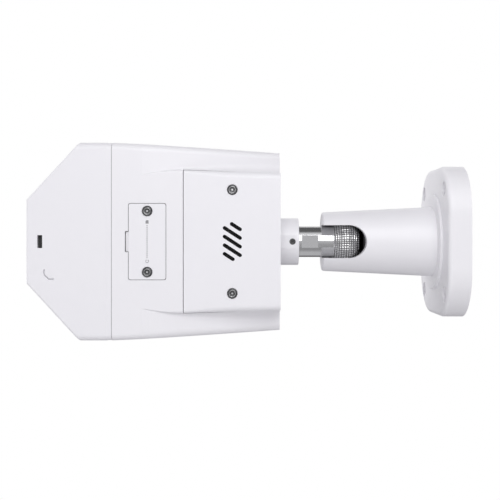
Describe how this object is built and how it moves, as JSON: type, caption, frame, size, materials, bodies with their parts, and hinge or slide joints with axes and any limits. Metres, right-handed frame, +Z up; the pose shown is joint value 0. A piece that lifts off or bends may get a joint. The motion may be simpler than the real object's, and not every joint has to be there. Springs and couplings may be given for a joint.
{
  "type": "security camera",
  "caption": "Wide bullet camera with angled windows on a ball shaft, slotted cone arm and rounded square wall base.",
  "frame": {"origin": "centre of the base's wall face", "axes": "+Z up, +Y into the wall, the camera looks towards -Y, +X across"},
  "size_m": [0.1336, 0.296, 0.103],
  "materials": {
    "white_paint": "fine satin white powder coat",
    "white_plastic": "white moulded plastic, satin",
    "polished_steel": "bright turned stainless steel, knurled ball",
    "dark_screw": "dark grey coated screws",
    "plain_steel": "plain zinc plated steel",
    "seal_rubber": "black silicone rubber",
    "smoked_pane": "smoked clear pane",
    "lens_glass": "coated optical glass",
    "lens_black": "black anodised ring and mask",
    "board_green": "solder-masked circuit board",
    "chip_black": "black moulded electronic parts",
    "bare_aluminium": "bare extruded aluminium",
    "reflector": "vacuum-metallised reflector cups",
    "clear_dome": "clear emitter domes",
    "speaker_paper": "black speaker cone",
    "acoustic_mesh": "black woven acoustic mesh",
    "button_plastic": "small red moulded button"
  },
  "bodies": {
    "base": {"base_plate": "white_paint", "base_gasket": "seal_rubber", "pan_friction_washer": "plain_steel", "arm_retainer": "plain_steel", "retainer_screws": "plain_steel", "cable_grommet": "seal_rubber"},
    "arm": {"arm_shell": "white_paint", "ball_clamp_block": "lens_black", "arm_lock_screw": "plain_steel"},
    "shaft": {"ball_shaft": "polished_steel", "shaft_o_ring": "seal_rubber", "shaft_washer": "plain_steel", "shaft_nut": "plain_steel"},
    "camera": {"rear_collar": "white_paint", "collar_screws": "plain_steel", "collar_set_screw": "dark_screw", "main_housing": "white_paint", "rear_cover": "white_plastic", "rear_cover_screws": "dark_screw", "speaker_frame": "chip_black", "speaker_cone": "speaker_paper", "speaker_mesh": "acoustic_mesh", "sd_cover": "white_plastic", "sd_cover_gasket": "seal_rubber", "sd_cover_screws": "dark_screw", "card_board": "board_green", "sd_socket": "plain_steel", "sd_card": "chip_black", "reset_switch": "chip_black", "main_board": "board_green", "board_screws": "plain_steel", "board_chips": "chip_black", "heat_sink": "bare_aluminium", "power_board": "board_green", "front_cover": "white_plastic", "front_seal": "seal_rubber", "front_cover_screws": "plain_steel", "middle_window": "smoked_pane", "middle_window_gasket": "seal_rubber", "light_mask": "lens_black", "light_board": "board_green", "light_emitters": "reflector", "light_lenses": "clear_dome", "lens_rear_elements": "lens_glass", "lens_carrier": "bare_aluminium", "mic_membrane": "acoustic_mesh", "mic_capsule": "plain_steel", "left_window": "smoked_pane", "left_window_gasket": "seal_rubber", "left_lens_mask": "lens_black", "left_lens_barrel": "lens_black", "left_lens_front_element": "lens_glass", "left_sensor_board": "board_green", "right_window": "smoked_pane", "right_window_gasket": "seal_rubber", "right_lens_mask": "lens_black", "right_lens_barrel": "lens_black", "right_lens_front_element": "lens_glass", "right_sensor_board": "board_green"},
    "reset_key": {"reset_button": "button_plastic"}
  },
  "joints": [
    {"name": "pan", "type": "hinge", "parent": "base", "child": "arm", "pos_m": [0, -0.0174, 0], "axis": [0, 1, 0], "range_deg": [-180, 180]},
    {"name": "tilt", "type": "hinge", "parent": "arm", "child": "shaft", "pos_m": [0, -0.078, 0], "axis": [1, 0, 0], "range_deg": [0, 90]},
    {"name": "roll", "type": "hinge", "parent": "shaft", "child": "camera", "pos_m": [0, -0.1115, 0], "axis": [0, 1, 0], "range_deg": [-180, 180]},
    {"name": "reset_press", "type": "slide", "parent": "camera", "child": "reset_key", "axis": [0, 0, 1], "range_m": [0, 0.0005], "stiffness_N_per_m": 1200, "springref_m": -0.0005}
  ]
}
